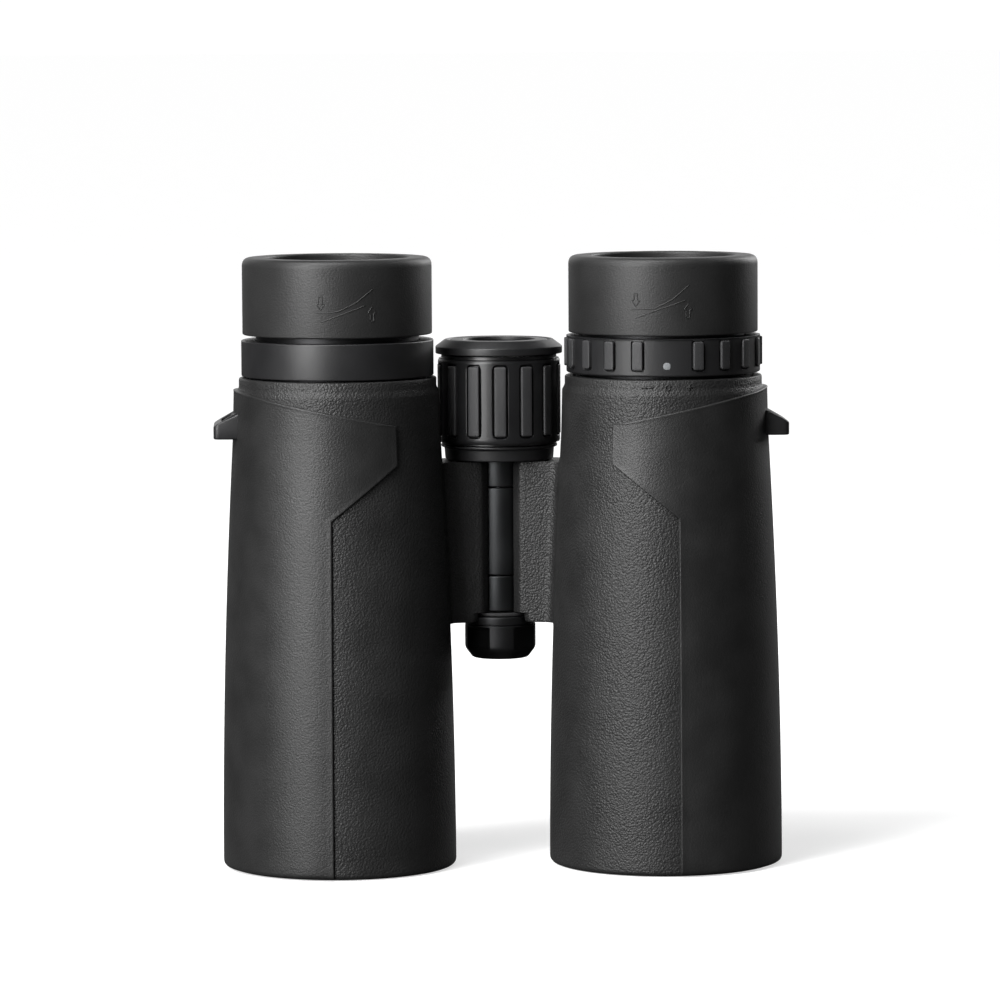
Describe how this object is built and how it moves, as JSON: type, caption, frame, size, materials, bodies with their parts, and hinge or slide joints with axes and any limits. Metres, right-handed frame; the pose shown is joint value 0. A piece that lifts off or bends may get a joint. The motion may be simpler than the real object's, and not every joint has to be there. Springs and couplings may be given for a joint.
{
  "type": "binoculars",
  "caption": "Roof-prism binoculars with rubber-armoured barrels on a central hinge, a focus wheel, a dioptre ring, twist-up eyecups, strap lugs and a hinge cap.",
  "frame": {"origin": "on the ground, midway between the barrel axes, with the binoculars standing on their objective ends", "axes": "+X from the left barrel to the right barrel, which carries the dioptre ring; +Y from the underside, which faces the viewer, to the top side; +Z from the objectives to the eyecups"},
  "size_m": [0.1286, 0.0518, 0.1367],
  "materials": {
    "armour_rubber": "fine leather-grain moulded rubber, satin",
    "cast_alloy": "satin black paint on a cast magnesium alloy",
    "black_anodised": "matt black anodising on turned aluminium",
    "satin_alloy": "satin grey anodising",
    "steel": "ground",
    "gloss_plastic": "polished black moulding",
    "matte_plastic": "satin black moulding",
    "soft_rubber": "smooth matt moulded rubber",
    "brass": "turned",
    "coated_glass": "polished, with a green-violet anti-reflection coating",
    "clear_glass": "polished"
  },
  "bodies": {
    "left_barrel": {"left_armour": "armour_rubber", "left_chassis": "cast_alloy", "left_strap_lug": "gloss_plastic", "left_objective_cell": "black_anodised", "left_objective_retainer": "black_anodised", "left_objective_crown": "coated_glass", "left_objective_flint": "clear_glass", "left_prism_cage": "cast_alloy", "left_half_prism": "clear_glass", "left_roof_prism": "clear_glass", "left_ocular_cell": "black_anodised", "left_field_lens": "clear_glass", "left_eye_lens": "coated_glass", "left_eye_retainer": "black_anodised", "left_eyepiece_tube": "black_anodised", "left_collar": "matte_plastic", "hinge_tube": "satin_alloy", "upper_hinge_pin": "steel", "lower_hinge_pin": "steel", "tripod_socket": "brass"},
    "right_barrel": {"right_armour": "armour_rubber", "right_chassis": "cast_alloy", "right_strap_lug": "gloss_plastic", "right_objective_cell": "black_anodised", "right_objective_retainer": "black_anodised", "right_objective_crown": "coated_glass", "right_objective_flint": "clear_glass", "right_prism_cage": "cast_alloy", "right_half_prism": "clear_glass", "right_roof_prism": "clear_glass", "right_eyepiece_tube": "black_anodised", "lower_knuckle": "satin_alloy", "upper_knuckle": "satin_alloy"},
    "focus_wheel": {"focus_wheel_hub": "black_anodised", "focus_wheel_shell": "gloss_plastic", "focus_wheel_grip": "soft_rubber", "focus_wheel_ring": "matte_plastic", "focus_wheel_disc": "matte_plastic", "focus_spindle": "steel"},
    "focus_carriage": {"focus_carriage": "brass"},
    "left_focusing_group": {"left_focusing_cell": "black_anodised", "left_focusing_lens": "clear_glass"},
    "right_focusing_group": {"right_focusing_cell": "black_anodised", "right_focusing_lens": "clear_glass"},
    "dioptre_ring": {"dioptre_ring": "black_anodised", "dioptre_grip": "soft_rubber"},
    "right_ocular_group": {"right_ocular_cell": "black_anodised", "right_field_lens": "clear_glass", "right_eye_lens": "coated_glass", "right_eye_retainer": "black_anodised"},
    "left_eyecup_guide": {"left_eyecup_guide_ring": "satin_alloy"},
    "left_eyecup": {"left_eyecup_rubber": "soft_rubber", "left_eyecup_sleeve": "black_anodised"},
    "right_eyecup_guide": {"right_eyecup_guide_ring": "satin_alloy"},
    "right_eyecup": {"right_eyecup_rubber": "soft_rubber", "right_eyecup_sleeve": "black_anodised"},
    "cap_seal": {"cap_seal": "soft_rubber"},
    "hinge_cap": {"hinge_cap": "black_anodised"}
  },
  "joints": [
    {"name": "interpupillary_fold", "type": "hinge", "parent": "left_barrel", "child": "right_barrel", "pos_m": [0, 0.01, 0.0743], "axis": [0, 0, -1], "range_deg": [0, 54]},
    {"name": "focus_turn", "type": "hinge", "parent": "left_barrel", "child": "focus_wheel", "pos_m": [0, 0.01, 0.1035], "axis": [0, 0, 1], "range_deg": [-270, 270]},
    {"name": "carriage_slide", "type": "slide", "parent": "left_barrel", "child": "focus_carriage", "axis": [0, 0, 1], "range_m": [-0.00301, 0.00301]},
    {"name": "left_focus_slide", "type": "slide", "parent": "left_barrel", "child": "left_focusing_group", "axis": [0, 0, 1], "range_m": [-0.00301, 0.00301]},
    {"name": "right_focus_slide", "type": "slide", "parent": "right_barrel", "child": "right_focusing_group", "axis": [0, 0, 1], "range_m": [-0.00301, 0.00301]},
    {"name": "dioptre_turn", "type": "hinge", "parent": "right_barrel", "child": "dioptre_ring", "pos_m": [0.0365, 0, 0.1148], "axis": [0, 0, 1], "range_deg": [-40, 40]},
    {"name": "ocular_slide", "type": "slide", "parent": "right_barrel", "child": "right_ocular_group", "axis": [0, 0, 1], "range_m": [-0.001, 0.001]},
    {"name": "left_eyecup_lift", "type": "slide", "parent": "left_barrel", "child": "left_eyecup_guide", "axis": [0, 0, 1], "range_m": [0, 0.00902]},
    {"name": "left_eyecup_twist", "type": "hinge", "parent": "left_eyecup_guide", "child": "left_eyecup", "pos_m": [-0.0365, 0, 0.128], "axis": [0, 0, 1], "range_deg": [0, 90]},
    {"name": "right_eyecup_lift", "type": "slide", "parent": "right_barrel", "child": "right_eyecup_guide", "axis": [0, 0, 1], "range_m": [0, 0.00902]},
    {"name": "right_eyecup_twist", "type": "hinge", "parent": "right_eyecup_guide", "child": "right_eyecup", "pos_m": [0.0365, 0, 0.128], "axis": [0, 0, 1], "range_deg": [0, 90]},
    {"name": "cap_lowering", "type": "slide", "parent": "left_barrel", "child": "cap_seal", "axis": [0, 0, -1], "range_m": [0, 0.00301]},
    {"name": "cap_unscrewing", "type": "hinge", "parent": "cap_seal", "child": "hinge_cap", "pos_m": [0, 0.01, 0.05], "axis": [0, 0, -1], "range_deg": [0, 1080]}
  ],
  "couplings": [
    {"joint": "carriage_slide", "follows": "focus_turn", "m_per_rad": 0.00063662},
    {"joint": "left_focus_slide", "follows": "focus_turn", "m_per_rad": 0.00063662},
    {"joint": "right_focus_slide", "follows": "focus_turn", "m_per_rad": 0.00063662},
    {"joint": "ocular_slide", "follows": "dioptre_turn", "m_per_rad": 0.0014324},
    {"joint": "left_eyecup_lift", "follows": "left_eyecup_twist", "m_per_rad": 0.0057296},
    {"joint": "right_eyecup_lift", "follows": "right_eyecup_twist", "m_per_rad": 0.0057296},
    {"joint": "cap_lowering", "follows": "cap_unscrewing", "m_per_rad": 0.00015915}
  ]
}
